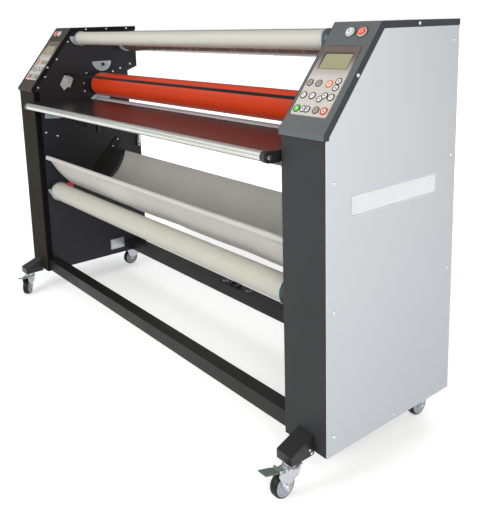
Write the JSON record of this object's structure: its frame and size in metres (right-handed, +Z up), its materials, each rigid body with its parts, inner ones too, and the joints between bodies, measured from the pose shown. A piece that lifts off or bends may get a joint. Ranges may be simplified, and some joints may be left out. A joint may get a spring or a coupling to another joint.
{
  "type": "wide-format roll laminator",
  "caption": "Floor-standing wide-format roll laminator: paired silicone rollers, supply rolls, tilting feed table and cloth tray between two control cabinets on casters.",
  "frame": {"origin": "on the floor under the middle of the machine's bounding box", "axes": "+Z up; +X along the rollers, towards the cabinet with the drive; -Y towards the operator at the feed side"},
  "size_m": [2.0552, 0.735, 1.284],
  "materials": {
    "column_paint": "fine texture satin powder coat",
    "cap_paint": "satin powder coat",
    "panel_silver": "fine metallic satin paint",
    "plate_black": "satin powder coat",
    "bar_black": "satin powder coat",
    "clip_black": "matt",
    "keypad_film": "fine matt film",
    "collar_pale": "gloss",
    "button_white": "gloss",
    "button_red": "gloss",
    "silicone": "smooth satin silicone",
    "silicone_grey": "smooth satin silicone",
    "core_steel": "turned",
    "block_steel": "milled",
    "motor_grey": "satin",
    "pulley_alloy": "turned",
    "belt": "matt",
    "circuit": "matt",
    "tube_cream": "smooth liner",
    "mandrel_alloy": "satin anodised",
    "film_taupe": "wound film",
    "bracket_alloy": "satin",
    "table_dark": "polished dark coating",
    "arm_steel": "satin",
    "tube_polished": "polished",
    "cloth": "woven coated cloth",
    "zinc": "zinc plated",
    "wheel_black": "matt rubber",
    "pedal_green": "satin",
    "knob_red": "gloss",
    "label_silver": "satin foil",
    "screw_zinc": "zinc plated"
  },
  "bodies": {
    "frame": {"right_front_column": "column_paint", "left_front_column": "column_paint", "rear_covers": "column_paint", "outriggers": "column_paint", "right_control_cap": "cap_paint", "left_control_cap": "cap_paint", "right_side_panel": "panel_silver", "left_side_panel": "panel_silver", "right_inner_plate": "plate_black", "left_inner_plate": "plate_black", "base_plates": "plate_black", "front_crossbar": "bar_black", "rear_crossbar": "bar_black", "tray_frame": "bar_black", "tray_cloth": "cloth", "bar_clip": "clip_black", "right_keypad": "keypad_film", "left_keypad": "keypad_film", "button_collars": "collar_pale", "lower_bearing_blocks": "block_steel", "lift_units": "block_steel", "drive_motor": "motor_grey", "drive_belt": "belt", "electrical_kit": "circuit", "wall_brackets": "bracket_alloy", "guide_bars": "bracket_alloy", "caster_plates": "zinc", "label_plates": "label_silver", "screws": "screw_zinc"},
    "upper_carriage": {"upper_bearing_blocks": "block_steel", "roller_heater": "core_steel"},
    "upper_roller": {"upper_roller_sleeve": "silicone", "upper_roller_core": "core_steel"},
    "lower_roller": {"lower_roller_sleeve": "silicone_grey", "lower_roller_core": "core_steel"},
    "motor_pulley_shaft": {"motor_pulley": "pulley_alloy"},
    "front_top_roll": {"front_top_tube": "tube_cream", "front_top_mandrel": "mandrel_alloy"},
    "rear_top_roll": {"rear_film_roll": "film_taupe", "rear_film_mandrel": "mandrel_alloy"},
    "lower_roll": {"lower_roll_tube": "tube_cream", "lower_roll_mandrel": "mandrel_alloy"},
    "table": {"feed_table": "table_dark", "table_arms": "arm_steel"},
    "front_tube": {"table_front_tube": "tube_polished"},
    "right_start": {"right_start_button": "button_white"},
    "right_stop": {"right_stop_button": "button_red"},
    "left_start": {"left_start_button": "button_white"},
    "left_stop": {"left_stop_button": "button_red"},
    "knob": {"brake_knob": "knob_red"},
    "front_right_swivel": {"front_right_fork": "zinc"},
    "front_left_swivel": {"front_left_fork": "zinc"},
    "rear_right_swivel": {"rear_right_fork": "zinc"},
    "rear_left_swivel": {"rear_left_fork": "zinc"},
    "front_right_tyre": {"front_right_wheel": "wheel_black"},
    "front_left_tyre": {"front_left_wheel": "wheel_black"},
    "rear_right_tyre": {"rear_right_wheel": "wheel_black"},
    "rear_left_tyre": {"rear_left_wheel": "wheel_black"},
    "front_right_brake": {"front_right_pedal": "pedal_green"},
    "front_left_brake": {"front_left_pedal": "pedal_green"}
  },
  "joints": [
    {"name": "nip_slide", "type": "slide", "parent": "frame", "child": "upper_carriage", "axis": [0, 0, 1], "range_m": [-0.0135, 0]},
    {"name": "upper_roller_spin", "type": "hinge", "parent": "upper_carriage", "child": "upper_roller", "pos_m": [0, 0.1375, 1.009], "axis": [1, 0, 0], "continuous": true},
    {"name": "lower_roller_spin", "type": "hinge", "parent": "frame", "child": "lower_roller", "pos_m": [0, 0.1375, 0.8851], "axis": [1, 0, 0], "continuous": true},
    {"name": "motor_pulley_spin", "type": "hinge", "parent": "frame", "child": "motor_pulley_shaft", "pos_m": [0, 0.1375, 0.6641], "axis": [1, 0, 0], "continuous": true},
    {"name": "front_top_spin", "type": "hinge", "parent": "frame", "child": "front_top_roll", "pos_m": [0, 0.0475, 1.233], "axis": [1, 0, 0], "continuous": true},
    {"name": "rear_top_spin", "type": "hinge", "parent": "frame", "child": "rear_top_roll", "pos_m": [0, 0.3095, 1.211], "axis": [1, 0, 0], "continuous": true},
    {"name": "lower_roll_spin", "type": "hinge", "parent": "frame", "child": "lower_roll", "pos_m": [0, -0.1195, 0.509], "axis": [1, 0, 0], "continuous": true},
    {"name": "table_tilt", "type": "hinge", "parent": "frame", "child": "table", "pos_m": [0, 0.0525, 0.9261], "axis": [-1, 0, 0], "range_deg": [0, 30]},
    {"name": "front_tube_spin", "type": "hinge", "parent": "table", "child": "front_tube", "pos_m": [0, -0.2325, 0.9331], "axis": [1, 0, 0], "continuous": true},
    {"name": "right_start_press", "type": "slide", "parent": "frame", "child": "right_start", "axis": [0, 0.7834, -0.6216], "range_m": [0, 0.0025], "stiffness_N_per_m": 400, "springref_m": -0.001},
    {"name": "right_stop_press", "type": "slide", "parent": "frame", "child": "right_stop", "axis": [0, 0.7834, -0.6216], "range_m": [0, 0.0025], "stiffness_N_per_m": 400, "springref_m": -0.001},
    {"name": "left_start_press", "type": "slide", "parent": "frame", "child": "left_start", "axis": [0, 0.7834, -0.6216], "range_m": [0, 0.0025], "stiffness_N_per_m": 400, "springref_m": -0.001},
    {"name": "left_stop_press", "type": "slide", "parent": "frame", "child": "left_stop", "axis": [0, 0.7834, -0.6216], "range_m": [0, 0.0025], "stiffness_N_per_m": 400, "springref_m": -0.001},
    {"name": "brake_knob_turn", "type": "hinge", "parent": "frame", "child": "knob", "pos_m": [-0.86, -0.0555, 0.52], "axis": [1, 0, 0], "range_deg": [0, 300]},
    {"name": "front_right_swivel_turn", "type": "hinge", "parent": "frame", "child": "front_right_swivel", "pos_m": [0.946, -0.2595, 0.09], "axis": [0, 0, 1], "continuous": true},
    {"name": "front_right_wheel_spin", "type": "hinge", "parent": "front_right_swivel", "child": "front_right_tyre", "pos_m": [0.946, -0.2915, 0.0375], "axis": [1, 0, 0], "continuous": true},
    {"name": "front_right_brake_press", "type": "hinge", "parent": "front_right_swivel", "child": "front_right_brake", "pos_m": [0.946, -0.3065, 0.0867], "axis": [1, 0, 0], "range_deg": [0, 20]},
    {"name": "front_left_swivel_turn", "type": "hinge", "parent": "frame", "child": "front_left_swivel", "pos_m": [-0.946, -0.2595, 0.09], "axis": [0, 0, 1], "continuous": true},
    {"name": "front_left_wheel_spin", "type": "hinge", "parent": "front_left_swivel", "child": "front_left_tyre", "pos_m": [-0.92222, -0.28091, 0.0375], "axis": [0.6691, 0.7431, 0], "continuous": true},
    {"name": "front_left_brake_press", "type": "hinge", "parent": "front_left_swivel", "child": "front_left_brake", "pos_m": [-0.91107, -0.29095, 0.0867], "axis": [0.6691, 0.7431, 0], "range_deg": [0, 20]},
    {"name": "rear_right_swivel_turn", "type": "hinge", "parent": "frame", "child": "rear_right_swivel", "pos_m": [0.946, 0.3405, 0.09], "axis": [0, 0, 1], "continuous": true},
    {"name": "rear_right_wheel_spin", "type": "hinge", "parent": "rear_right_swivel", "child": "rear_right_tyre", "pos_m": [0.946, 0.3085, 0.0375], "axis": [1, 0, 0], "continuous": true},
    {"name": "rear_left_swivel_turn", "type": "hinge", "parent": "frame", "child": "rear_left_swivel", "pos_m": [-0.946, 0.3405, 0.09], "axis": [0, 0, 1], "continuous": true},
    {"name": "rear_left_wheel_spin", "type": "hinge", "parent": "rear_left_swivel", "child": "rear_left_tyre", "pos_m": [-0.946, 0.3085, 0.0375], "axis": [1, 0, 0], "continuous": true}
  ],
  "couplings": [
    {"joint": "motor_pulley_spin", "follows": "lower_roller_spin", "ratio": 3}
  ]
}
